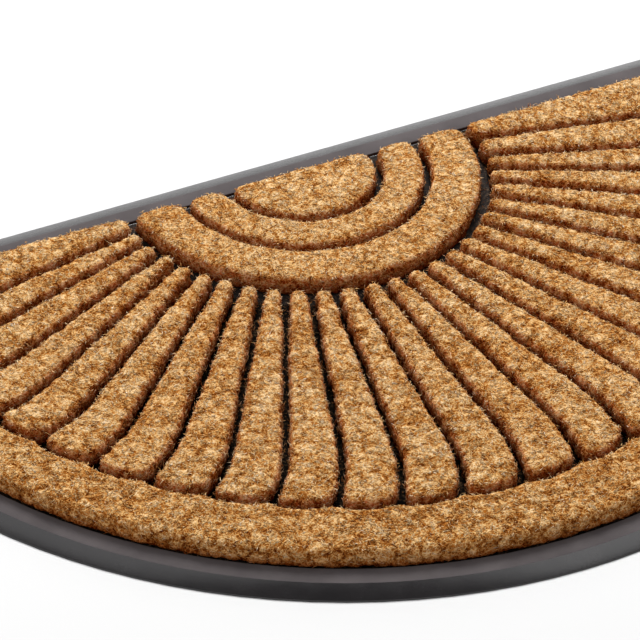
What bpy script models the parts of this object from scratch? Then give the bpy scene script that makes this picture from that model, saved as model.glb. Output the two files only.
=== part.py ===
"""Half-round coir doormat: coir pads standing in a moulded rubber tray.

Metres, +Z up. The origin is the middle of the footprint on the floor. +X runs along the straight
rear edge, and -Y points to the middle of the curved front edge.
"""
import math

import bmesh
import bpy
from mathutils import Matrix, Vector

# Driving dimensions of the rubber tray
MAT_WIDTH = 0.762
MAT_DEPTH = 0.4572
OUTER_RADIUS = MAT_WIDTH / 2
CORNER_RADIUS = 0.012
INSIDE_CORNER = 0.003
RIM_HEIGHT = 0.0012
BEVEL_WIDTH = 0.0125
LEDGE_HEIGHT = 0.005
LEDGE_WIDTH = 0.0123
INNER_WALL = 0.0006
FLOOR_HEIGHT = 0.003
TRAY_CURVE_STEPS = 56
TRAY_CORNER_STEPS = 5

# Heights and edges of the coir pads
PAD_TOP = 0.0170
PAD_SEAT = 0.0003
PAD_WALL_LEAN = 0.0006
PAD_ROUND = 0.0042
PAD_CROWN = 0.0006

# Plan of the coir, measured from the sun's centre
SUN_TO_REAR = 0.0366
COIR_TURN = math.radians(-0.6)
COIR_REAR = 0.0044
SUN_RADIUS = 0.0530
INNER_RING = (0.0573, 0.0859)
OUTER_RING = (0.0902, 0.1251)
RAY_START = 0.1306
RAY_END = 0.3061
BAND_INNER = 0.3114
BAND_OUTER = 0.3546

# The fan of rays: its centre, the even pitch of its gaps, and the few gaps that lie off it
RAY_COUNT = 26
FAN_CENTRE = Vector((-0.0044, 0.0141))
FAN_PITCH = math.radians(6.43)
FAN_MIDDLE = math.radians(89.4)
GAP_SHIFT = {1: math.radians(-0.5), 2: math.radians(-0.5), 25: math.radians(1.7)}
GAP_INNER = 0.0042
GAP_OUTER = 0.0052

# Each gap turns to the left at its outer end: over what length, and how far by the end
BEND_LENGTH = 0.049
BEND_SHIFT = 0.0105
BEND_STEPS = 4

# Corner radii in plan, and the most of a ray's inner width that one corner takes
RING_CORNER = 0.0095
RAY_TOE = 0.0058
RAY_HEEL = 0.0150
RAY_CORNER_REAR = 0.0115
RAY_CORNER_INNER = 0.0048
INNER_CORNER_SHARE = 0.44
BAND_CORNER = 0.0120

# The border's inner edge from one gap to the next: share of the way, share of the scallop's depth
SCALLOP_DEPTH = 0.0042
SCALLOP = (
    (0.00, 1.00),
    (0.13, 0.40),
    (0.32, 0.00),
    (0.58, 0.05),
    (0.80, 0.45),
)

# Unevenness of the pads' edges, and the spacing of the points that draw them
EDGE_WAVER = 0.0005
WAVER_LENGTH = 0.041
WAVER_DEPTHWAYS = 0.030
PHASE = {"sun_pad": 0.4, "inner_ring": 1.1, "outer_ring": 2.6, "border_band": 0.9}
RAY_PHASE = 1.7
STEP_LONG = 0.022
STEP_ROUND = 0.0095
STEP_CORNER = 0.0036
CORNER_MARGIN = 1.15
MITRE_LIMIT = 0.6
SHOULDER_PULL = 1 - math.sqrt(0.5)
SMOOTH_ANGLE = math.radians(35)

REAR_Y = MAT_DEPTH / 2
CURVE_CENTRE = Vector((0.0, REAR_Y - MAT_DEPTH + OUTER_RADIUS))
SUN_CENTRE = Vector((0.0, REAR_Y - SUN_TO_REAR))
TURN_COIR = Matrix.Rotation(COIR_TURN, 2)
CURVE_IN_PATTERN = TURN_COIR.inverted() @ (CURVE_CENTRE - SUN_CENTRE)
FAN_RIM_CENTRE = Vector((FAN_CENTRE.x, CURVE_IN_PATTERN.y))

COIR = ("coir", (0.56, 0.36, 0.17), 0.95)
RUBBER = ("charcoal rubber", (0.045, 0.043, 0.046), 0.55)


def material(name, colour, roughness):
    """A plain surface of one colour."""
    made = bpy.data.materials.get(name) or bpy.data.materials.new(name)
    made.use_nodes = True
    shader = made.node_tree.nodes["Principled BSDF"]
    shader.inputs["Base Color"].default_value = (*colour, 1.0)
    shader.inputs["Roughness"].default_value = roughness
    shader.inputs["Metallic"].default_value = 0.0
    return made


def on_circle(centre, radius, angle):
    """The point at an angle counted from -X through -Y to +X."""
    return centre + radius * Vector((-math.cos(angle), -math.sin(angle)))


def arc(centre, radius, start, end, step):
    """Points along a circle from one angle to another, both ends included."""
    count = max(2, math.ceil(abs(end - start) * radius / step))
    return [on_circle(centre, radius, start + (end - start) * i / count) for i in range(count + 1)]


def angle_at_height(centre, radius, y):
    """The angle on a circle, on its -X side, where it crosses the line at y."""
    return math.asin((centre.y - y) / radius)


def where_line_leaves(start, towards, centre, radius):
    """The last point of a circle on the line from start to another point."""
    along = (towards - start).normalized()
    back = (start - centre).dot(along)
    return start + along * (-back + math.sqrt(back * back - (start - centre).length_squared + radius ** 2))


def rounded(outline, corners):
    """The outline with each listed corner, given as point number: radius, turned into an arc."""
    arcs = {}
    cleared = []
    for number, radius in corners.items():
        here = outline[number]
        before = (outline[number - 1] - here).normalized()
        after = (outline[(number + 1) % len(outline)] - here).normalized()
        half = before.angle(after) / 2
        length = radius / math.tan(half)
        middle = here + (before + after).normalized() * radius / math.sin(half)
        first = here + before * length - middle
        turn = math.pi - 2 * half
        count = max(3, math.ceil(turn * radius / STEP_CORNER))
        turn *= math.copysign(1, first.x * (here - middle).y - first.y * (here - middle).x)
        arcs[number] = [middle + Matrix.Rotation(turn * i / count, 2) @ first for i in range(count + 1)]
        cleared.append((here, length * CORNER_MARGIN))
    points = []
    for number, here in enumerate(outline):
        if number in arcs:
            points += arcs[number]
        elif all((here - corner).length > reach for corner, reach in cleared):
            points.append(here)
    return points


def area_of(outline):
    """The signed area: positive when the outline runs anticlockwise seen from above."""
    pairs = zip(outline, outline[1:] + outline[:1])
    return sum(a.x * b.y - b.x * a.y for a, b in pairs) / 2


def outward(outline):
    """The outward direction at each point of an anticlockwise outline, lengthened at corners."""
    directions = []
    for number, here in enumerate(outline):
        one = (here - outline[number - 1]).normalized()
        two = (outline[(number + 1) % len(outline)] - here).normalized()
        normal = Vector((one.y + two.y, -one.x - two.x)).normalized()
        stretch = 1 / max(MITRE_LIMIT, normal.dot(Vector((one.y, -one.x))))
        directions.append(normal * stretch)
    return directions


def wavered(outline, phase):
    """The outline with its edge moved in and out a little, as pressed coir lies."""
    points = []
    for here, out in zip(outline, outward(outline)):
        swing = math.sin(here.x * math.tau / WAVER_LENGTH + phase)
        swing += math.sin(here.y * math.tau / WAVER_DEPTHWAYS - phase)
        points.append(here + out * EDGE_WAVER * swing / 2)
    return points


def solid(name, layers, finish):
    """One closed object through outlines of equal length, each given as (points, height)."""
    mesh = bmesh.new()
    rings = [[mesh.verts.new((p.x, p.y, height)) for p in points] for points, height in layers]
    count = len(rings[0])
    for low, high in zip(rings, rings[1:]):
        for i in range(count):
            j = (i + 1) % count
            mesh.faces.new((low[i], low[j], high[j], high[i]))
    mesh.faces.new(list(reversed(rings[0])))
    mesh.faces.new(rings[-1])
    data = bpy.data.meshes.new(name)
    mesh.to_mesh(data)
    mesh.free()
    data.shade_smooth()
    data.set_sharp_from_angle(angle=SMOOTH_ANGLE)
    data.materials.append(material(*finish))
    made = bpy.data.objects.new(name, data)
    bpy.context.scene.collection.objects.link(made)
    return made


def tray_outline(inset):
    """The half-round outline of the tray, moved in by an amount, with rounded rear corners."""
    radius = OUTER_RADIUS - inset
    rear = REAR_Y - inset
    corner = max(CORNER_RADIUS - inset, INSIDE_CORNER)
    step = math.pi / TRAY_CURVE_STEPS
    points = [on_circle(CURVE_CENTRE, radius, step * i) for i in range(TRAY_CURVE_STEPS + 1)]
    step = math.pi / 2 / TRAY_CORNER_STEPS
    for side, start in ((1, math.pi), (-1, 1.5 * math.pi)):
        middle = Vector((side * (radius - corner), rear - corner))
        points += [on_circle(middle, corner, start + step * i) for i in range(TRAY_CORNER_STEPS + 1)]
    return points


def rubber_base():
    """The tray: rim, bevel, ledge, a short wall down and the floor that the pads stand on."""
    ledge_start = BEVEL_WIDTH
    ledge_end = BEVEL_WIDTH + LEDGE_WIDTH
    profile = (
        (0.0, 0.0),
        (0.0, RIM_HEIGHT),
        (ledge_start, LEDGE_HEIGHT),
        (ledge_end, LEDGE_HEIGHT),
        (ledge_end + INNER_WALL, FLOOR_HEIGHT),
    )
    return solid("rubber_base", [(tray_outline(inset), z) for inset, z in profile], RUBBER)


def coir_pad(name, outline, phase):
    """A pad over an outline in the pattern's plan: steep walls, a round shoulder, a flat top."""
    if area_of(outline) < 0:
        outline = outline[::-1]
    outline = wavered(outline, phase)
    out = outward(outline)
    foot = FLOOR_HEIGHT + PAD_SEAT
    shoulder = PAD_TOP - PAD_CROWN
    profile = (
        (0.0, foot),
        (PAD_WALL_LEAN, shoulder - PAD_ROUND),
        (PAD_WALL_LEAN + PAD_ROUND * SHOULDER_PULL, shoulder - PAD_ROUND * SHOULDER_PULL),
        (PAD_WALL_LEAN + PAD_ROUND, PAD_TOP),
    )
    layers = []
    for inset, height in profile:
        points = [SUN_CENTRE + TURN_COIR @ (p - o * inset) for p, o in zip(outline, out)]
        layers.append((points, height))
    return solid(name, layers, COIR)


def sun_outline():
    """A half disc whose flat side is the rear edge of the coir."""
    centre = Vector((0.0, 0.0))
    start = angle_at_height(centre, SUN_RADIUS, COIR_REAR)
    points = arc(centre, SUN_RADIUS, start, math.pi - start, STEP_ROUND)
    return rounded(points, {0: RING_CORNER, len(points) - 1: RING_CORNER})


def ring_outline(inner, outer):
    """A half ring whose two ends stop at the rear edge of the coir."""
    centre = Vector((0.0, 0.0))
    start_out = angle_at_height(centre, outer, COIR_REAR)
    start_in = angle_at_height(centre, inner, COIR_REAR)
    outside = arc(centre, outer, start_out, math.pi - start_out, STEP_ROUND)
    inside = arc(centre, inner, math.pi - start_in, start_in, STEP_ROUND)
    points = outside + inside
    ends = (0, len(outside) - 1, len(outside), len(points) - 1)
    return rounded(points, dict.fromkeys(ends, RING_CORNER))


def gap_angle(gap):
    """The direction of a gap from the fan's centre; gap 1 lies between rays 1 and 2."""
    even = FAN_MIDDLE + (gap - RAY_COUNT / 2) * FAN_PITCH
    return even + GAP_SHIFT.get(gap, 0.0)


def split_line(start, end, step):
    """Points along a line, without its end."""
    count = max(1, round((end - start).length / step))
    return [start.lerp(end, i / count) for i in range(count)]


def rim_line(radius, start, towards):
    """Where the line from start meets the half-round line at a radius of the fan's rim."""
    hit = where_line_leaves(start, towards, FAN_RIM_CENTRE, radius)
    if hit.y <= FAN_RIM_CENTRE.y:
        return hit
    along = towards - start
    side = FAN_RIM_CENTRE.x + math.copysign(radius, along.x)
    return start + along * ((side - start.x) / along.x)


def bent(point, share):
    """A point moved to the left round the fan's rim, by a share of the bend at a gap's end."""
    turn = Matrix.Rotation(-share * BEND_SHIFT / RAY_END, 2)
    return FAN_RIM_CENTRE + turn @ (point - FAN_RIM_CENTRE)


def gap_side(gap, side):
    """The edge of a gap on its left (-1) or its right (+1), from its inner end to its outer one."""
    angle = gap_angle(gap)
    across = Vector((math.sin(angle), -math.cos(angle))) * side / 2
    near = on_circle(FAN_CENTRE, RAY_START, angle) + across * GAP_INNER
    far = on_circle(FAN_CENTRE, RAY_END, angle) + across * GAP_OUTER
    inner = where_line_leaves(near, far, Vector((0.0, 0.0)), RAY_START)
    outer = rim_line(RAY_END, inner, far)
    start = outer + (inner - outer).normalized() * BEND_LENGTH
    points = split_line(inner, start, STEP_LONG)
    for i in range(BEND_STEPS + 1):
        share = i / BEND_STEPS
        points.append(bent(start.lerp(outer, share), share ** 2))
    return points


def rear_side(side):
    """The edge of an end ray on the coir's rear edge, on the left (-1) or the right (+1)."""
    inner = math.sqrt(RAY_START ** 2 - COIR_REAR ** 2)
    ends = Vector((side * inner, COIR_REAR)), Vector((FAN_RIM_CENTRE.x + side * RAY_END, COIR_REAR))
    return split_line(*ends, STEP_LONG) + [ends[1]]


def ray_outline(number):
    """A wedge between two gaps, or the rear edge and a gap: a small toe and a big round heel."""
    left = rear_side(-1) if number == 1 else gap_side(number - 1, 1)
    right = rear_side(1) if number == RAY_COUNT else gap_side(number, -1)
    inner_corner = min(RAY_CORNER_INNER, (left[0] - right[0]).length * INNER_CORNER_SHARE)
    crest = rim_line(RAY_END, FAN_CENTRE, (left[-1] + right[-1]) / 2)
    points = left + [crest] + right[::-1]
    corners = {0: inner_corner, len(points) - 1: inner_corner}
    corners[len(left) - 1] = RAY_CORNER_REAR if number == 1 else RAY_TOE
    corners[len(left) + 1] = RAY_CORNER_REAR if number == RAY_COUNT else RAY_HEEL
    return rounded(points, corners)


def band_inner_edge():
    """The scalloped inner edge of the border: a blunt point at each gap's end, hollows between."""
    points = []
    for gap in range(1, RAY_COUNT):
        here, there = gap_angle(gap), gap_angle(gap + 1)
        for share, depth in SCALLOP if gap < RAY_COUNT - 1 else SCALLOP[:1]:
            towards = on_circle(FAN_CENTRE, RAY_END, here + (there - here) * share)
            points.append(bent(rim_line(BAND_INNER - depth * SCALLOP_DEPTH, FAN_CENTRE, towards), 1))
    return points


def band_outline():
    """The border: the mat's half round outside, the scallops inside, straight ends at the rear."""
    outside = arc(CURVE_IN_PATTERN, BAND_OUTER, 0.0, math.pi, STEP_LONG / 2)
    left, right = (Vector((side * BAND_OUTER, COIR_REAR)) for side in (-1, 1))
    rim = FAN_RIM_CENTRE.x
    inner_left, inner_right = (Vector((rim + side * BAND_INNER, COIR_REAR)) for side in (-1, 1))
    inside = band_inner_edge()
    points = [left] + outside + [right]
    first_inner = len(points)
    points += [inner_right] + inside[::-1] + [inner_left]
    corners = dict.fromkeys((0, first_inner - 1, first_inner, len(points) - 1), BAND_CORNER)
    return rounded(points, corners)


def build():
    """All the pieces of the mat."""
    for thing in list(bpy.data.objects):
        bpy.data.objects.remove(thing, do_unlink=True)
    rubber_base()
    outlines = {
        "sun_pad": sun_outline(),
        "inner_ring": ring_outline(*INNER_RING),
        "outer_ring": ring_outline(*OUTER_RING),
        "border_band": band_outline(),
    }
    for name, outline in outlines.items():
        coir_pad(name, outline, PHASE[name])
    for number in range(1, RAY_COUNT + 1):
        coir_pad(f"ray_{number:02d}", ray_outline(number), number * RAY_PHASE)


build()
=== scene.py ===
"""The looks of a half-round coir doormat: fibrous coir pads standing in a charcoal rubber tray.

Each coir pad is a lumpy body with short fibres all over it, made from the pad's own solid. The tray
is the frame's tray with softened creases. Metres, +Z up, rear edge along +X, curved front at -Y.
"""
import math

import bmesh
import bpy
import numpy as np
from mathutils import Matrix, Vector, noise
from mathutils.bvhtree import BVHTree


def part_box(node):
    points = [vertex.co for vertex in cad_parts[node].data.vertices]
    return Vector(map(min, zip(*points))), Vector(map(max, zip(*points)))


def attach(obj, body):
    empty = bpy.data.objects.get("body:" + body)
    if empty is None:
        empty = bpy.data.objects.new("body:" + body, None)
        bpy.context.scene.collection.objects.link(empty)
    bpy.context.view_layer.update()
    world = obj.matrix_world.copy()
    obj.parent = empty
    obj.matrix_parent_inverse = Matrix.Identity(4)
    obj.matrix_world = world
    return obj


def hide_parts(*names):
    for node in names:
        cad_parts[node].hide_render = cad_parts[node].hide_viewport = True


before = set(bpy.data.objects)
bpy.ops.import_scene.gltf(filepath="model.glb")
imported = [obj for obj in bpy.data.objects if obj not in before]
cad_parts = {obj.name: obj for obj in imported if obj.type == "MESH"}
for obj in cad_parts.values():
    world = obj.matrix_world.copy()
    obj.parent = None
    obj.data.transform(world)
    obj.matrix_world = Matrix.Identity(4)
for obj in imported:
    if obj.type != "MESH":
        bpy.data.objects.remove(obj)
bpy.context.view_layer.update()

# The photograph's view, in a square frame
VIEW_AZIMUTH = math.radians(-28.65)
VIEW_ELEVATION = math.radians(38.19)
VIEW_ROLL = math.radians(1.906)
VIEW_DISTANCE = 2.3183
VIEW_TARGET = Vector((-0.0538, 0.0582, 0.0))
VIEW_CLIP_END = 50.0
SENSOR_WIDTH = 36.0
FRAME_PIXELS = 640
FOCAL_PIXELS = 3525.05

# The studio: its floor, and each light's name, place, size and watts
FLOOR_COLOUR = (0.60, 0.60, 0.60, 1.0)
FLOOR_ROUGHNESS = 0.9
FLOOR_GLOSS = 0.1
FLOOR_HALF_WIDTH = 8.0
LIGHTS = (
    ("key", (0.82, 1.76, 2.15), 1.0, 106.0),
    ("rear", (0.9, 2.5, 1.15), 0.6, 8.0),
    ("left", (-2.4, 0.6, 1.25), 0.5, 14.0),
    ("upper left", (-0.40, 0.98, 2.27), 1.2, 6.0),
    ("side", (1.16, 0.14, 2.2), 1.05, 7.5),
)

# The surround: its tones from the horizon up, and its strength from the front to the rear
SURROUND_STOPS = (
    (0.00, (1.0, 1.0, 1.0)),
    (0.35, (0.90, 0.90, 0.90)),
    (0.70, (0.68, 0.68, 0.68)),
    (0.86, (0.080, 0.080, 0.080)),
    (1.00, (0.065, 0.065, 0.065)),
)
SURROUND_FRONT_TO_REAR = (-0.55, 0.10)
SURROUND_STRENGTH = (1.20, 1.10)

# The mat's own sizes: the curved edge lies round ROUND_CENTRE, the sun and the rings round RING_CENTRE
MAT_WIDTH = 0.762
MAT_DEPTH = 0.4572
MAT_RADIUS = MAT_WIDTH / 2
ROUND_CENTRE = (0.0, MAT_RADIUS - MAT_DEPTH / 2)
RING_CENTRE = (0.0, 0.192)
TRAY_FLOOR = 0.0030
LEDGE_TOP = 0.0050
PAD_FOOT = 0.0033
PAD_TOP = 0.0170
PAD_REAR = 0.2038

# Cloudy noise: cells a metre, detail, roughness, and the range of it that is spread out
PATCH_CLOUD = (14.0, 2.0, 0.5, (0.40, 0.62))
WALL_SHADE_CLOUD = (420.0, 2.0, 0.7, (0.36, 0.64))
COIR_GRAIN = (1100.0, 2.0, 0.6, (0.30, 0.70))
RING_LIGHT_CLOUD = (520.0, 3.0, 0.7, (0.35, 0.65))
GRIT_CLOUD = (1500.0, 2.0, 0.7, (0.66, 0.80))
SHEEN_CLOUD = (70.0, 3.0, 0.5, (0.30, 0.70))

# The rubber's tones: place along the ramp, and colour there. The tray is one rubber, but the bevel is
# painted darker as shade, the ledge lighter as light, and the groove floor near-black as shade in the
# narrow grooves, with brown specks of dirt.
BEVEL_SHADED_STOPS = ((0.30, (0.0110, 0.0100, 0.0106)), (0.70, (0.0170, 0.0152, 0.0160)))
LEDGE_LIT_STOPS = ((0.30, (0.059, 0.051, 0.052)), (0.70, (0.084, 0.073, 0.074)))
GROOVE_SHADE_AND_DIRT_STOPS = (
    (0.50, (0.0036, 0.0032, 0.0027)),
    (0.62, (0.0300, 0.0180, 0.0100)),
    (0.74, (0.1500, 0.0950, 0.0500)),
)

# Grit on all the rubber, and its fine grain in cells a metre, with the relief's strength and depth
GRIT_COLOUR = (0.12, 0.10, 0.09, 1.0)
RUBBER_GRAIN_CELLS = 1800.0
RUBBER_RELIEF = (0.25, 0.0002)

# Lighter patches of painted light on the groove floor round the sun, where the wider grooves are lit, and
# how far out they reach and fade
RING_LIGHT_COLOUR = (0.0290, 0.0250, 0.0240, 1.0)
RING_LIGHT_SHARES = (0.25, 1.0)
RING_LIGHT_REACH = (0.1300, 0.1335)

# The tray's rounded creases: those that are steeper than an angle, level, and above the underside
CREASE_RADIUS = 0.0006
CREASE_STEPS = 3
CREASE_ANGLE = math.radians(9)
CREASE_TILT = 1e-5
CREASE_LOWEST = 1e-4

# Angles of the tray within which faces are one, and past which shading breaks
TRAY_FLAT_ANGLE = math.radians(0.5)
TRAY_SHARP_ANGLE = math.radians(25)

# The tray's finishes: how far below the ledge's top its own begins, and which faces are the floor
LEDGE_DROP = 0.0003
TRAY_FLOOR_FACING = 0.99
TRAY_FLOOR_BAND = 1e-4

# The coir's colours by tone, from dark brown to pale straw
COIR_STOPS = (
    (0.00, (0.075, 0.014, 0.002)),
    (0.25, (0.290, 0.097, 0.013)),
    (0.50, (0.560, 0.328, 0.121)),
    (0.75, (0.700, 0.508, 0.302)),
    (1.00, (0.760, 0.655, 0.530)),
)
COIR_GRAIN_TONES = (-0.07, 0.07)
COIR_ROUGHNESS = 0.9

# Strands painted on the coir: cells a metre, width, tones, and the relief's strength and depth
STRANDS = ((330.0, 0.085), (470.0, 0.07))
STRAND_TONES = (-0.22, 0.13)
STRAND_RELIEF = (0.8, 0.0006)

# Warmer patches of the coir
PATCH_TINT = (1.0, 0.90, 0.76, 1.0)
PATCH_SHARE = 0.45

# Painted shade near a pad's foot: darker, red-brown coir, and the heights over which it fades
FOOT_SHADE_TINT = (0.46, 0.23, 0.11, 1.0)
FOOT_SHADE_SHARE = 0.90
FOOT_SHADE_HEIGHTS = (0.0055, 0.0105)

# Painted shade on a pad's walls and shoulders: mottled red-brown
WALL_SHADE_TINT = (0.60, 0.15, 0.02, 1.0)
WALL_SHADE_SHARES = (0.30, 0.88)

# The body under the fibres: the size of its mesh, and its level underside
BODY_VOXEL = 0.0022
BODY_SMOOTHING = 0.5
BODY_FOOT_BAND = 0.0006
UNDERSIDE_ANGLE = math.radians(2)

# How far a pad's sides are drawn out: a ray's from its toe on, any other pad's, and at which heights
RAY_TOES = (0.131, 0.170)
RAY_SPREADS = (-0.0008, 0.0001)
OTHER_SPREAD = -0.0005
SPREAD_HEIGHTS = (0.0050, 0.0085)

# The pads whose pile leans, which way, how far, and the strip before the rear where that ends
LEANING = ("sun_pad", "inner_ring", "outer_ring")
LEAN_TOWARDS = (math.cos(math.radians(65)), math.sin(math.radians(65)), 0.0)
TOP_LEAN = 0.0027
FOOT_LEAN_SHARE = 0.85
LEAN_EASE = 0.03

# Tufts of the body, its fuller shoulder, and slow swells
RAY_TUFT = (0.0092, 0.0150, 0.0300)
RAY_TUFT_HEIGHT = 0.0012
OTHER_TUFT = (0.0100, 0.0100, 0.0110)
OTHER_TUFT_HEIGHT = 0.0008
TUFT_FILL = 2.8
MIDDLE_FULLNESS = 0.7
TOP_TUFT_SHARE = 0.45
SHOULDER_FILL = 0.0008
SWELL_SIZE = 0.022
SWELL_HEIGHT = 0.0006

# How far each pad's noise and tufts are moved on from those of the pad before it
NOISE_STEP = (7.31, 3.17, 1.73)
TUFT_STEP = (5.13, 2.71, 0.57)

# The fibres on a pad: how many a square metre, and their shape
FIBRE_DENSITY = 0.36e6
FIBRE_LENGTH = (0.0030, 0.0056)
FIBRE_RADIUS = (0.00028, 0.00046)
FIBRE_THICKNESS = 0.6
FIBRE_WAIST = 0.5
FIBRE_SINK = 0.0003
FIBRE_BEND = 0.20
SHOULDER_SHORTENING = 0.70

# Fewer fibres start on walls and near the foot, and none on the underside
WALL_BELOW = 0.5
WALL_FIBRE_SHARE = 0.74
UNDERSIDE_BELOW = -0.3
FOOT_THINNING = 0.004

# How fibres lie: their rise, their turn and its clumps, and how they follow walls and shoulders
FIBRE_RISE = (math.radians(1), math.radians(17))
LOW_RISE_BIAS = 1.6
TURN_SPREAD = 0.9
CLUMP_SIZE = 0.009
CLUMP_TURN = 1.2
WALL_STANDING = 0.7
WALL_STANDING_RANGE = (-0.6, 1.0)
EDGE_FOLLOWING = 1.6
SIDE_WOBBLE = 0.3

# Strays, then dark fibres: one in so many, times its length, times its radius, steeper by, darker by
ODD_FIBRES = (
    (240, 1.70, 0.55, math.radians(22), 0.0),
    (20, 1.35, 0.55, math.radians(5), 0.36),
)

# Where the walls' painted shade is full and where it ends, by how far up a pad's surface faces, and how
# much it eases on faces turned towards the key lamp
WALL_SHADE_START = 0.55
SHOULDER_SHADE_END = 0.92
KEY_SIDE_SHADE_EASE = 0.22

# How the walls' painted shade weakens on the outer wall, which the light reaches, and towards the fibres'
# tips
OUTSIDE_RADIUS = MAT_RADIUS - 0.034
OUTSIDE_WALL_SHADE_SHARE = 0.32
TIP_WALL_SHADE_FADE = 0.35

# Tones of the fibres, their middle and their spread, and of the body, with more on full tufts, so that
# the seams between tufts are darker as painted shade
FIBRE_TONE = (0.575, 0.13)
FIBRE_SEAM_SHADE_TONE = 0.14
BODY_TONE = 0.18
BODY_SEAM_SHADE_TONE = 0.34
TONE_LIMITS = (0.12, 1.05)
# A fibre keeps this share of its tone at its root, rising to all of it at its tip: painted shade at the
# roots
ROOT_SHADE_SHARE = 0.74

# Small clumps of paler and darker fibres, and how much paler the coir is inside the border band
TONE_CLUMP_SIZE = 0.0030
TONE_CLUMP = 0.18
INNER_PALER = 0.052

# Loose fibres in the grooves
CRUMB_TRIES = 11000
CRUMB_LENGTH = (0.0008, 0.0030)
CRUMB_RADIUS = (0.00014, 0.00034)
CRUMB_RISE = (0.0, math.radians(16))
CRUMB_TONE = (0.35, 1.1)
CRUMB_CLEARANCE = 0.0006
CRUMB_MARGIN = 0.020

# Points closer than this are one, and heights closer than this are the same
SAME_PLACE = 1e-6


def set_camera():
    """The camera at the photograph's angle, with no shift and no depth of field."""
    outwards = math.cos(VIEW_ELEVATION)
    back = Vector((
        math.sin(VIEW_AZIMUTH) * outwards,
        -math.cos(VIEW_AZIMUTH) * outwards,
        math.sin(VIEW_ELEVATION),
    ))
    level = Vector((math.cos(VIEW_AZIMUTH), math.sin(VIEW_AZIMUTH), 0.0))
    above = back.cross(level)
    right = math.cos(VIEW_ROLL) * level + math.sin(VIEW_ROLL) * above
    up = math.cos(VIEW_ROLL) * above - math.sin(VIEW_ROLL) * level
    stance = Matrix((right, up, back)).transposed().to_4x4()
    stance.translation = VIEW_TARGET + back * VIEW_DISTANCE
    camera = bpy.data.objects.new("camera", bpy.data.cameras.new("camera"))
    camera.data.sensor_width = SENSOR_WIDTH
    camera.data.lens = FOCAL_PIXELS / FRAME_PIXELS * SENSOR_WIDTH
    camera.data.clip_end = VIEW_CLIP_END
    camera.matrix_world = stance
    bpy.context.scene.collection.objects.link(camera)
    bpy.context.scene.camera = camera


def new_material(name):
    """An empty material, its node tree and its shader, to which a finish is wired."""
    made = bpy.data.materials.new(name)
    made.use_nodes = True
    return made, made.node_tree, made.node_tree.nodes["Principled BSDF"]


def add_node(tree, kind, settings=(), **values):
    """One shader node, with its settings and the values of its unlinked sockets."""
    made = tree.nodes.new(kind)
    for name, value in dict(settings).items():
        setattr(made, name, value)
    for name, value in values.items():
        made.inputs[name].default_value = value
    return made


def add_noise(tree, place, cells, detail, rough=0.5):
    """Cloudy noise on the piece's own coordinates, with so many cells a metre."""
    cloud = add_node(tree, "ShaderNodeTexNoise", Scale=cells, Detail=detail, Roughness=rough)
    tree.links.new(place, cloud.inputs["Vector"])
    return cloud.outputs["Fac"]


def add_range(tree, value, taken, given):
    """A value spread from the range taken to the range given, and held at its ends."""
    made = add_node(tree, "ShaderNodeMapRange")
    for name, number in zip(("From Min", "From Max", "To Min", "To Max"), (*taken, *given)):
        made.inputs[name].default_value = number
    tree.links.new(value, made.inputs["Value"])
    return made.outputs["Result"]


def add_cloud(tree, place, cloud, given):
    """One of the clouds of noise, spread to the range given."""
    cells, detail, rough, taken = cloud
    return add_range(tree, add_noise(tree, place, cells, detail, rough), taken, given)


def add_ramp(tree, value, stops):
    """A colour ramp through (place, colour) stops."""
    ramp = tree.nodes.new("ShaderNodeValToRGB")
    steps = ramp.color_ramp.elements
    while len(steps) < len(stops):
        steps.new(0.5)
    for step, (place, colour) in zip(steps, stops):
        step.position = place
        step.color = (*colour, 1.0)
    tree.links.new(value, ramp.inputs["Fac"])
    return ramp.outputs["Color"]


def feed(tree, socket, given):
    """A socket linked to another one, or set to a number or a colour."""
    if isinstance(given, bpy.types.NodeSocket):
        tree.links.new(given, socket)
    else:
        socket.default_value = given


def add_mix(tree, blend, share, one, two):
    """Two colours mixed. Each of the three may be a link, or a number or colour."""
    mix = add_node(tree, "ShaderNodeMix", {"data_type": "RGBA", "blend_type": blend})
    share_socket, one_socket, two_socket = mix.inputs[0], mix.inputs[6], mix.inputs[7]
    feed(tree, share_socket, share)
    feed(tree, one_socket, one)
    feed(tree, two_socket, two)
    return mix.outputs[2]


def combine(tree, operation, *values):
    """Values joined by one operation of arithmetic. Each may be a link or a number."""
    made = add_node(tree, "ShaderNodeMath", {"operation": operation})
    for socket, given in zip(made.inputs, values):
        feed(tree, socket, given)
    return made.outputs["Value"]


def own_place(tree):
    """A piece's own coordinates."""
    return tree.nodes.new("ShaderNodeTexCoord").outputs["Object"]


def own_number(tree, name):
    """A number that each point of a piece keeps."""
    return add_node(tree, "ShaderNodeAttribute", {"attribute_name": name}).outputs["Fac"]


def add_relief(tree, shader, height, relief):
    """Fine relief on a shader, with its strength and depth."""
    strength, depth = relief
    bump = add_node(tree, "ShaderNodeBump", Strength=strength, Distance=depth)
    tree.links.new(height, bump.inputs["Height"])
    tree.links.new(bump.outputs["Normal"], shader.inputs["Normal"])


def tangle(tree, place, cells, width):
    """Thin curly lines, bright on dark, where smooth noise passes through its middle value."""
    cloud = add_noise(tree, place, cells, detail=1.0, rough=0.4)
    off = combine(tree, "ABSOLUTE", combine(tree, "SUBTRACT", cloud, 0.5))
    return add_range(tree, off, (0.0, width), (1.0, 0.0))


def coir_tone(tree, place, strands):
    """The tone that each point keeps, with fine grain and painted strands added."""
    grain = add_cloud(tree, place, COIR_GRAIN, COIR_GRAIN_TONES)
    streak = add_range(tree, strands, (0.0, 1.0), STRAND_TONES)
    grained = combine(tree, "ADD", own_number(tree, "tone"), grain)
    return combine(tree, "ADD", grained, streak)


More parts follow.
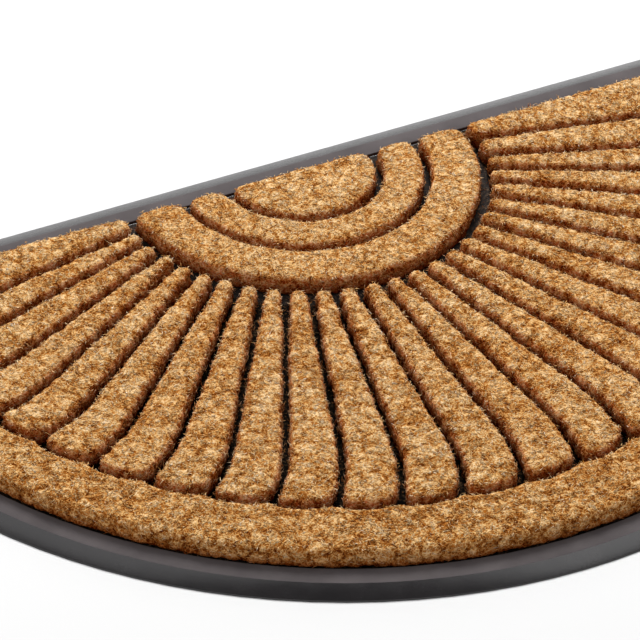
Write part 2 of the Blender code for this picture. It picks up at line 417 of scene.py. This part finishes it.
def coir_material():
    """Golden coir by tone, tangled strands, warmer patches, and painted shade in red-brown at the feet
    and on the walls.
    """
    made, tree, shader = new_material("coir")
    place = own_place(tree)
    tangles = [tangle(tree, place, cells, width) for cells, width in STRANDS]
    strands = combine(tree, "MAXIMUM", *tangles)
    colour = add_ramp(tree, coir_tone(tree, place, strands), COIR_STOPS)
    patch = add_cloud(tree, place, PATCH_CLOUD, (0.0, PATCH_SHARE))
    colour = add_mix(tree, "MULTIPLY", patch, colour, PATCH_TINT)
    split = tree.nodes.new("ShaderNodeSeparateXYZ")
    tree.links.new(place, split.inputs["Vector"])
    # Painted shade: darker red-brown coir towards a pad's foot
    foot = add_range(tree, split.outputs["Z"], FOOT_SHADE_HEIGHTS, (FOOT_SHADE_SHARE, 0.0))
    colour = add_mix(tree, "MULTIPLY", foot, colour, FOOT_SHADE_TINT)
    # Painted shade on walls and shoulders, mottled red-brown; each point's wall attribute holds how much
    mottle = add_cloud(tree, place, WALL_SHADE_CLOUD, WALL_SHADE_SHARES)
    wall = combine(tree, "MULTIPLY", own_number(tree, "wall"), mottle)
    colour = add_mix(tree, "MULTIPLY", wall, colour, WALL_SHADE_TINT)
    tree.links.new(colour, shader.inputs["Base Color"])
    add_relief(tree, shader, strands, STRAND_RELIEF)
    shader.inputs["Roughness"].default_value = COIR_ROUGHNESS
    shader.inputs["Specular IOR Level"].default_value = 0.0
    return made


def with_ring_light(tree, place, colour):
    """A groove floor's colour with lighter patches of painted light round the sun."""
    off = add_node(tree, "ShaderNodeVectorMath", {"operation": "DISTANCE"})
    tree.links.new(place, off.inputs[0])
    off.inputs[1].default_value = (*RING_CENTRE, TRAY_FLOOR)
    near = add_range(tree, off.outputs["Value"], RING_LIGHT_REACH, (1.0, 0.0))
    patchy = add_cloud(tree, place, RING_LIGHT_CLOUD, RING_LIGHT_SHARES)
    lit_patches = combine(tree, "MULTIPLY", near, patchy)
    return add_mix(tree, "ADD", lit_patches, colour, RING_LIGHT_COLOUR)


def rubber_material(name, stops, cloud_size, roughness, gloss, grit_share, painted_light=False):
    """Rubber: a cloudy tone, specks of grit, an uneven sheen and a fine grain."""
    made, tree, shader = new_material(name)
    place = own_place(tree)
    colour = add_ramp(tree, add_noise(tree, place, 1.0 / cloud_size, detail=4.0, rough=0.6), stops)
    # Lighter patches of painted light round the sun
    if painted_light:
        colour = with_ring_light(tree, place, colour)
    grit = add_cloud(tree, place, GRIT_CLOUD, (0.0, grit_share))
    colour = add_mix(tree, "MIX", grit, colour, GRIT_COLOUR)
    tree.links.new(colour, shader.inputs["Base Color"])
    sheen = add_cloud(tree, place, SHEEN_CLOUD, roughness)
    tree.links.new(sheen, shader.inputs["Roughness"])
    shader.inputs["Specular IOR Level"].default_value = gloss
    grain = add_noise(tree, place, RUBBER_GRAIN_CELLS, detail=2.0)
    add_relief(tree, shader, grain, RUBBER_RELIEF)
    return made


def rubber_finishes():
    """The tray's three finishes on one rubber: a sleek bevel painted darker as shade, a matt ledge
    painted lighter as light, and grooves painted near-black as shade, with brown dirt and, round the sun,
    lighter patches of painted light.
    """
    bevel = rubber_material(
        "charcoal rubber", BEVEL_SHADED_STOPS,
        cloud_size=0.038, roughness=(0.13, 0.20), gloss=0.5, grit_share=0.22)
    ledge = rubber_material(
        "dusty rubber", LEDGE_LIT_STOPS,
        cloud_size=0.029, roughness=(0.70, 0.80), gloss=0.06, grit_share=0.22)
    groove = rubber_material(
        "shade_and_dirt rubber", GROOVE_SHADE_AND_DIRT_STOPS,
        cloud_size=0.0019, roughness=(0.80, 0.90), gloss=0.0, grit_share=0.05, painted_light=True)
    return bevel, ledge, groove


def floor_material():
    """A plain, nearly white surface."""
    made, _, shader = new_material("pale floor")
    shader.inputs["Base Color"].default_value = FLOOR_COLOUR
    shader.inputs["Roughness"].default_value = FLOOR_ROUGHNESS
    shader.inputs["Specular IOR Level"].default_value = FLOOR_GLOSS
    return made


def new_object(name, data):
    """An object of a mesh or a light, in the scene."""
    made = bpy.data.objects.new(name, data)
    bpy.context.scene.collection.objects.link(made)
    return made


def placed(name, data, finish):
    """An object of a mesh, with its finish, that rides on the mat."""
    data.materials.clear()
    data.materials.append(finish)
    made = new_object(name, data)
    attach(made, "root")
    return made


def merged_copy(node, name):
    """The solid of a frame's node as a new object, its loose triangles joined up."""
    shape = bmesh.new()
    shape.from_mesh(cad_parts[node].data)
    bmesh.ops.remove_doubles(shape, verts=shape.verts, dist=SAME_PLACE)
    data = bpy.data.meshes.new(name)
    shape.to_mesh(data)
    shape.free()
    return new_object(name, data)


def evaluated(piece):
    """The piece's mesh with its modifiers applied; the piece itself is removed."""
    seen = piece.evaluated_get(bpy.context.evaluated_depsgraph_get())
    data = bpy.data.meshes.new_from_object(seen)
    bpy.data.objects.remove(piece)
    return data


def noise_at(points, size, seed):
    """Smooth noise from -1 to 1 at each point, with cells of a size."""
    shift = Vector([seed * step for step in NOISE_STEP])
    return np.array([noise.noise(Vector(point) / size + shift) for point in points])


def unit(vectors):
    """Vectors made one long."""
    return vectors / np.maximum(np.linalg.norm(vectors, axis=1), 1e-12)[:, None]


def lengthwise(points):
    """The level direction in which a set of points is longest."""
    level = points[:, :2] - points[:, :2].mean(axis=0)
    return np.linalg.eigh(level.T @ level)[1][:, -1]


def steepness(normals):
    """From 0 where a surface lies level to 1 where it is upright or overhangs."""
    return np.clip(1.0 - normals[:, 2], 0.0, 1.0)


def shoulder_share(normals):
    """From 0 on a pad's top and on its walls to 1 halfway round its shoulder."""
    return 1.0 - np.abs(2.0 * steepness(normals) - 1.0)


def wall_shade(normals):
    """From 0 on a pad's top to 1 on its walls: how much painted shade a point gets. It is less where a
    surface turns towards LEAN_TOWARDS, the key lamp's side.
    """
    looks_up = normals[:, 2] + KEY_SIDE_SHADE_EASE * (normals @ np.array(LEAN_TOWARDS))
    return np.interp(looks_up, (WALL_SHADE_START, SHOULDER_SHADE_END), (1.0, 0.0))


def outside(points):
    """Whether each point is on the coir's outer wall, which the light reaches."""
    return np.linalg.norm(points[:, :2] - np.array(ROUND_CENTRE), axis=1) > OUTSIDE_RADIUS


def point_arrays(data):
    """A mesh's points, and the direction that each one faces."""
    points = np.empty(len(data.vertices) * 3)
    normals = np.empty(len(data.vertices) * 3)
    data.vertices.foreach_get("co", points)
    data.vertices.foreach_get("normal", normals)
    return points.reshape(-1, 3), normals.reshape(-1, 3)


def triangle_array(data):
    """The three points of each of a mesh's triangles."""
    data.calc_loop_triangles()
    triangles = np.empty(len(data.loop_triangles) * 3, dtype=np.int64)
    data.loop_triangles.foreach_get("vertices", triangles)
    return triangles.reshape(-1, 3)


class Tufts:
    """The tufts of one pad: on a ray they lie across it, elsewhere they are round."""

    def __init__(self, points, is_ray, seed):
        self.along = lengthwise(points) if is_ray else np.array([1.0, 0.0])
        self.size = np.array(RAY_TUFT if is_ray else OTHER_TUFT)
        self.height = RAY_TUFT_HEIGHT if is_ray else OTHER_TUFT_HEIGHT
        self.shift = Vector([seed * step for step in TUFT_STEP])

    def fullness(self, points):
        """From 0 at the seams between tufts to 1 at their crowns, at each point."""
        across = np.array([-self.along[1], self.along[0]])
        turned = np.stack((points[:, :2] @ self.along, points[:, :2] @ across, points[:, 2]), axis=1)
        nearest = [noise.voronoi(Vector(point) + self.shift)[0][:2] for point in turned / self.size]
        seam = np.array([second - first for first, second in nearest])
        return 1.0 - (1.0 - np.clip(seam * TUFT_FILL, 0.0, 1.0)) ** 2


def pad_spread(points, is_ray):
    """How far a pad's sides are drawn out at each point: nothing at its foot, inwards at a ray's toe."""
    most = OTHER_SPREAD
    if is_ray:
        off = np.linalg.norm(points[:, :2] - np.array(RING_CENTRE), axis=1)
        most = np.interp(off, RAY_TOES, RAY_SPREADS)
    return np.interp(points[:, 2], SPREAD_HEIGHTS, (0.0, 1.0)) * most


def pad_swell(points, normals, tufts, seed):
    """How far a pad's skin swells at each point: its tufts, its fuller shoulder and slow swells."""
    rise = np.clip(normals[:, 2], 0.0, 1.0)
    shoulder = np.where(normals[:, 2] > 0.0, 4.0 * rise * (1.0 - rise), 0.0)
    share = TOP_TUFT_SHARE + (1.0 - TOP_TUFT_SHARE) * np.clip(2.0 * (1.0 - rise), 0.0, 1.0)
    tufted = (tufts.fullness(points) - MIDDLE_FULLNESS) * tufts.height * share
    return tufted + shoulder * SHOULDER_FILL + noise_at(points, SWELL_SIZE, seed) * SWELL_HEIGHT


def pile_lean(points):
    """How far the sun's and the rings' pile leans at each point: most on top, none at the rear."""
    up = np.interp(points[:, 2], (SPREAD_HEIGHTS[0], PAD_TOP), (FOOT_LEAN_SHARE, 1.0))
    clear = np.interp(points[:, 1], (PAD_REAR - LEAN_EASE, PAD_REAR), (1.0, 0.0))
    return np.outer(up * clear * TOP_LEAN, LEAN_TOWARDS[:2])


def remeshed(node):
    """A pad's solid with an even mesh, a little smoothed."""
    rough = merged_copy(node, node + "_rough")
    remesh = rough.modifiers.new("remesh", "REMESH")
    remesh.mode = "VOXEL"
    remesh.voxel_size = BODY_VOXEL
    smooth = rough.modifiers.new("smooth", "SMOOTH")
    smooth.factor = BODY_SMOOTHING
    smooth.iterations = 1
    return evaluated(rough)


def cleaned(data):
    """A body's mesh in triangles that face outwards, with as few as will do on its level underside."""
    shape = bmesh.new()
    shape.from_mesh(data)
    highest = PAD_FOOT + SAME_PLACE
    under = [face for face in shape.faces if all(vert.co.z < highest for vert in face.verts)]
    edges = {edge for face in under for edge in face.edges}
    bmesh.ops.dissolve_limit(shape, angle_limit=UNDERSIDE_ANGLE, verts=[], edges=list(edges))
    bmesh.ops.triangulate(shape, faces=shape.faces)
    bmesh.ops.recalc_face_normals(shape, faces=shape.faces)
    shape.to_mesh(data)
    shape.free()
    return data


def pad_body(node, seed):
    """The pad under its fibres, swelled into tufts and level below; and its tufts."""
    data = remeshed(node)
    points, normals = point_arrays(data)
    is_ray = node.startswith("ray_")
    tufts = Tufts(points, is_ray, seed)
    swell = pad_swell(points, normals, tufts, seed)
    spread = pad_spread(points, is_ray)
    points[:, :2] += normals[:, :2] * spread[:, None]
    points += normals * swell[:, None]
    if node in LEANING:
        points[:, :2] += pile_lean(points)
    points[points[:, 2] < PAD_FOOT + BODY_FOOT_BAND, 2] = PAD_FOOT
    data.vertices.foreach_set("co", points.ravel())
    return cleaned(data), tufts


def fibre_shape():
    """A fibre with a length and a radius of one, from its buried root up to its tip: a closed spindle."""
    upper = 1.0 - FIBRE_WAIST
    shape = bmesh.new()
    bmesh.ops.create_cone(shape, cap_ends=True, segments=3, radius1=1.0, radius2=0.0, depth=upper)
    bmesh.ops.translate(shape, verts=shape.verts, vec=(0.0, 0.0, FIBRE_WAIST + upper / 2))
    waist = [face for face in shape.faces if face.calc_center_median().z < FIBRE_WAIST + SAME_PLACE]
    root = bmesh.ops.poke(shape, faces=waist)["verts"][0]
    root.co = (0.0, 0.0, 0.0)
    shape.verts.index_update()
    points = np.array([vert.co[:] for vert in shape.verts])
    triangles = np.array([[vert.index for vert in face.verts] for face in shape.faces])
    shape.free()
    return points, triangles


def scatter(data, rng):
    """Where fibres start on a body, and the body's direction there: fewer on the walls."""
    points, _ = point_arrays(data)
    triangles = triangle_array(data)
    one, two, three = (points[triangles[:, corner]] for corner in range(3))
    cross = np.cross(two - one, three - one)
    double_area = np.linalg.norm(cross, axis=1)
    normals = cross / np.maximum(double_area, 1e-15)[:, None]
    height = points[triangles].mean(axis=1)[:, 2]
    share = np.where(normals[:, 2] > WALL_BELOW, 1.0, WALL_FIBRE_SHARE)
    share *= np.interp(height, (PAD_FOOT, PAD_FOOT + FOOT_THINNING), (0.0, 1.0))
    share[normals[:, 2] < UNDERSIDE_BELOW] = 0.0
    weight = double_area / 2 * share
    count = int(weight.sum() * FIBRE_DENSITY)
    chosen = rng.choice(len(triangles), size=count, p=weight / weight.sum())
    towards_two, towards_three = rng.random(count), rng.random(count)
    over = towards_two + towards_three > 1.0
    towards_two[over] = 1.0 - towards_two[over]
    towards_three[over] = 1.0 - towards_three[over]
    one, two, three = one[chosen], two[chosen], three[chosen]
    starts = one + (two - one) * towards_two[:, None] + (three - one) * towards_three[:, None]
    return starts, normals[chosen]


def fibre_directions(starts, normals, tufts, rng):
    """How each fibre points: nearly flat, across a ray, turned with its clump, along shoulders."""
    count = len(starts)
    clump = np.array([noise.noise(Vector(start) / CLUMP_SIZE) for start in starts])
    across = math.atan2(tufts.along[0], -tufts.along[1])
    spread = rng.normal(0.0, TURN_SPREAD, count) + rng.integers(0, 2, count) * math.pi
    turn = across + spread + clump * CLUMP_TURN * math.pi
    flat = np.stack((np.cos(turn), np.sin(turn), np.zeros(count)), axis=1)
    flat[:, 2] = steepness(normals) * WALL_STANDING * rng.uniform(*WALL_STANDING_RANGE, count)
    edge = np.stack((-normals[:, 1], normals[:, 0], np.zeros(count)), axis=1)
    towards = np.sign((flat * edge).sum(axis=1))
    flat += edge * (towards * shoulder_share(normals) * EDGE_FOLLOWING)[:, None]
    flat -= normals * (flat * normals).sum(axis=1)[:, None]
    rise = FIBRE_RISE[0] + (FIBRE_RISE[1] - FIBRE_RISE[0]) * rng.random(count) ** LOW_RISE_BIAS
    return unit(flat), rise


def spindles(starts, normals, flat, rise, length, radius, rng):
    """Fibres from their roots on: the points of all, their triangles, and how far up a point is."""
    bend = rng.normal(0.0, FIBRE_BEND, len(starts))
    along = flat * np.cos(rise)[:, None] + normals * np.sin(rise)[:, None]
    side = unit(np.cross(along, normals + SIDE_WOBBLE * rng.normal(size=normals.shape)))
    other = np.cross(along, side)
    shape, triangles = fibre_shape()
    up = shape[:, 2]
    bow = 4.0 * up * (1.0 - up)
    across = shape[None, :, 0] * radius[:, None] + (length * bend)[:, None] * bow[None, :]
    beside = shape[None, :, 1] * radius[:, None] * FIBRE_THICKNESS
    reach = length[:, None] * up[None, :]
    points = starts[:, None, :] + across[:, :, None] * side[:, None, :]
    points += beside[:, :, None] * other[:, None, :] + reach[:, :, None] * along[:, None, :]
    faces = triangles[None] + (np.arange(len(starts)) * len(shape))[:, None, None]
    return points, faces, up


def lay_fibres(data, tufts, seed):
    """All of a pad's fibres: their points and triangles, and each point's tone and painted wall shade."""
    rng = np.random.default_rng(seed)
    starts, normals = scatter(data, rng)
    count = len(starts)
    flat, rise = fibre_directions(starts, normals, tufts, rng)
    shortened = 1.0 - SHOULDER_SHORTENING * shoulder_share(normals)
    length = rng.uniform(*FIBRE_LENGTH, count) * shortened
    radius = rng.uniform(*FIBRE_RADIUS, count)
    darker = np.zeros(count)
    for one_in, length_share, radius_share, steeper_by, darker_by in ODD_FIBRES:
        odd = rng.integers(0, one_in, count) == 0
        length[odd] *= length_share
        radius[odd] *= radius_share
        rise[odd] += steeper_by
        darker[odd] += darker_by
    roots = starts - normals * FIBRE_SINK
    points, faces, up = spindles(roots, normals, flat, rise, length, radius, rng)
    points[:, :, 2] = np.maximum(points[:, :, 2], PAD_FOOT)
    # Painted shade: fibres in the seams between tufts are darker
    tone = rng.normal(*FIBRE_TONE, count) + FIBRE_SEAM_SHADE_TONE * tufts.fullness(starts)
    tone += noise_at(starts, TONE_CLUMP_SIZE, seed) * TONE_CLUMP
    tone = np.clip(tone - darker, *TONE_LIMITS)
    # Painted shade: each fibre is darker at its root
    tones = tone[:, None] * (ROOT_SHADE_SHARE + (1.0 - ROOT_SHADE_SHARE) * up[None, :])
    walls = wall_shade(normals)[:, None] * (1.0 - TIP_WALL_SHADE_FADE * up[None, :])
    return points.reshape(-1, 3), faces.reshape(-1, 3), tones.ravel(), walls.ravel()


def mark(data, name, values):
    """One number for each point of a mesh, kept as an attribute."""
    layer = data.attributes.new(name, "FLOAT", "POINT")
    layer.data.foreach_set("value", np.asarray(values, dtype=np.float32).ravel())


def mesh_of(name, points, triangles, tones, walls):
    """A smooth mesh from arrays, which keeps each point's tone and painted wall shade."""
    data = bpy.data.meshes.new(name)
    data.vertices.add(len(points))
    data.vertices.foreach_set("co", points.ravel())
    data.loops.add(triangles.size)
    data.loops.foreach_set("vertex_index", triangles.ravel().astype(np.int32))
    data.polygons.add(len(triangles))
    data.polygons.foreach_set("loop_start", np.arange(0, triangles.size, 3, dtype=np.int32))
    data.update(calc_edges=True)
    data.shade_smooth()
    mark(data, "tone", tones)
    mark(data, "wall", walls)
    return data


def coir_pad(node, finish, seed):
    """A pad as it looks: the tufted body and its fibres in one piece, in place of the solid."""
    body, tufts = pad_body(node, seed)
    body_points, normals = point_arrays(body)
    # Painted shade: the body is darker in the seams between tufts
    body_tones = BODY_TONE + BODY_SEAM_SHADE_TONE * tufts.fullness(body_points)
    body_tones += noise_at(body_points, TONE_CLUMP_SIZE, seed) * TONE_CLUMP
    fibres, blades, fibre_tones, fibre_wall_shades = lay_fibres(body, tufts, seed)
    points = np.vstack((body_points, fibres))
    triangles = np.vstack((triangle_array(body), blades + len(body_points)))
    tones = np.concatenate((body_tones, fibre_tones))
    if node != "border_band":
        tones += INNER_PALER
    walls = np.concatenate((wall_shade(normals), fibre_wall_shades))
    # Less painted shade on the outer wall, which the light reaches
    walls[outside(points)] *= OUTSIDE_WALL_SHADE_SHARE
    bpy.data.meshes.remove(body)
    name = node + "_coir"
    made = placed(name, mesh_of(name, points, triangles, tones, walls), finish)
    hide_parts(node)
    return made


def under_a_pad(pads):
    """A test of whether something stands over a point of the tray's floor."""
    shape = bmesh.new()
    for name in pads:
        shape.from_mesh(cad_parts[name].data)
    tree = BVHTree.FromBMesh(shape, epsilon=CRUMB_CLEARANCE)
    shape.free()
    up = Vector((0.0, 0.0, 1.0))
    return lambda x, y: tree.ray_cast(Vector((x, y, 0.0)), up)[0] is not None


def loose_fibres(pads, finish):
    """Short fibres that lie loose on the tray's floor, in the grooves between the pads."""
    rng = np.random.default_rng(len(pads))
    low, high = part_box("border_band")
    tries = rng.uniform(low[:2], high[:2], (CRUMB_TRIES, 2))
    inside = np.linalg.norm(tries - np.array(ROUND_CENTRE), axis=1) < high[0] - CRUMB_MARGIN
    covered = under_a_pad(pads)
    open_floor = [place for place in tries[inside] if not covered(*place)]
    starts = np.array([(x, y, TRAY_FLOOR + CRUMB_RADIUS[0]) for x, y in open_floor])
    count = len(starts)
    normals = np.tile((0.0, 0.0, 1.0), (count, 1))
    turn = rng.uniform(-math.pi, math.pi, count)
    flat = np.stack((np.cos(turn), np.sin(turn), np.zeros(count)), axis=1)
    rise = rng.uniform(*CRUMB_RISE, count)
    length = rng.uniform(*CRUMB_LENGTH, count)
    radius = rng.uniform(*CRUMB_RADIUS, count)
    points, faces, up = spindles(starts, normals, flat, rise, length, radius, rng)
    tones = rng.uniform(*CRUMB_TONE, count)[:, None] * np.ones(len(up))[None, :]
    walls = np.zeros(tones.shape)
    data = mesh_of("loose_fibres", points.reshape(-1, 3), faces.reshape(-1, 3), tones, walls)
    return placed("loose_fibres", data, finish)


def is_crease(edge):
    """Whether an edge of the tray is a level crease above the mat's underside."""
    low, high = sorted(vert.co.z for vert in edge.verts)
    if len(edge.link_faces) != 2 or high - low > CREASE_TILT or low < CREASE_LOWEST:
        return False
    return edge.calc_face_angle() > CREASE_ANGLE


def finish_number(face):
    """Which finish a face of the tray has: 0 for the bevel's, 1 for the ledge's, 2 for the grooves'."""
    if face.center.z > LEDGE_TOP - LEDGE_DROP:
        return 1
    if face.normal.z > TRAY_FLOOR_FACING and abs(face.center.z - TRAY_FLOOR) < TRAY_FLOOR_BAND:
        return 2
    return 0


def rubber_tray(finishes):
    """The moulded tray with its creases rounded off, in place of its solid."""
    rough = merged_copy("rubber_base", "rubber_tray")
    data = rough.data
    shape = bmesh.new()
    shape.from_mesh(data)
    bmesh.ops.dissolve_limit(shape, angle_limit=TRAY_FLAT_ANGLE, verts=shape.verts, edges=shape.edges)
    creases = [edge for edge in shape.edges if is_crease(edge)]
    bmesh.ops.bevel(shape, geom=creases, offset=CREASE_RADIUS, offset_type="OFFSET", affect="EDGES",
                    segments=CREASE_STEPS, profile=0.5, material=-1, clamp_overlap=True)
    shape.to_mesh(data)
    shape.free()
    data.shade_smooth()
    data.set_sharp_from_angle(angle=TRAY_SHARP_ANGLE)
    bpy.data.objects.remove(rough)
    bevel, ledge, groove = finishes
    made = placed("rubber_tray", data, bevel)
    data.materials.append(ledge)
    data.materials.append(groove)
    for face in data.polygons:
        face.material_index = finish_number(face)
    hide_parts("rubber_base")
    return made


def add_floor():
    """A plain floor that the mat lies on."""
    shape = bmesh.new()
    bmesh.ops.create_grid(shape, x_segments=1, y_segments=1, size=FLOOR_HALF_WIDTH)
    data = bpy.data.meshes.new("floor")
    shape.to_mesh(data)
    shape.free()
    data.materials.append(floor_material())
    floor = new_object("floor", data)


def add_light(name, place, size, watts):
    """A square soft light that looks at the middle of the mat."""
    lamp = bpy.data.lights.new(name, "AREA")
    lamp.shape = "SQUARE"
    lamp.size = size
    lamp.energy = watts
    made = new_object(name, lamp)
    made.location = place
    made.rotation_euler = (-Vector(place)).to_track_quat("-Z", "Y").to_euler()


def add_surround():
    """A surround that is pale near the horizon, dim overhead, and a little stronger in front."""
    world = bpy.data.worlds.new("surround")
    bpy.context.scene.world = world
    world.use_nodes = True
    tree = world.node_tree
    sky = tree.nodes["Background"]
    direction = tree.nodes.new("ShaderNodeTexCoord").outputs["Generated"]
    split = tree.nodes.new("ShaderNodeSeparateXYZ")
    tree.links.new(direction, split.inputs["Vector"])
    tone = add_ramp(tree, split.outputs["Z"], SURROUND_STOPS)
    strength = add_range(tree, split.outputs["Y"], SURROUND_FRONT_TO_REAR, SURROUND_STRENGTH)
    tree.links.new(tone, sky.inputs["Color"])
    tree.links.new(strength, sky.inputs["Strength"])


def main():
    """The whole scene."""
    bpy.context.scene.view_settings.view_transform = "Standard"
    set_camera()
    add_floor()
    add_surround()
    for light in LIGHTS:
        add_light(*light)
    coir = coir_material()
    pads = [name for name in sorted(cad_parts) if name != "rubber_base"]
    laid = [coir_pad(name, coir, seed) for seed, name in enumerate(pads, start=1)]
    laid.append(loose_fibres(pads, coir))
    tray = rubber_tray(rubber_finishes())


main()
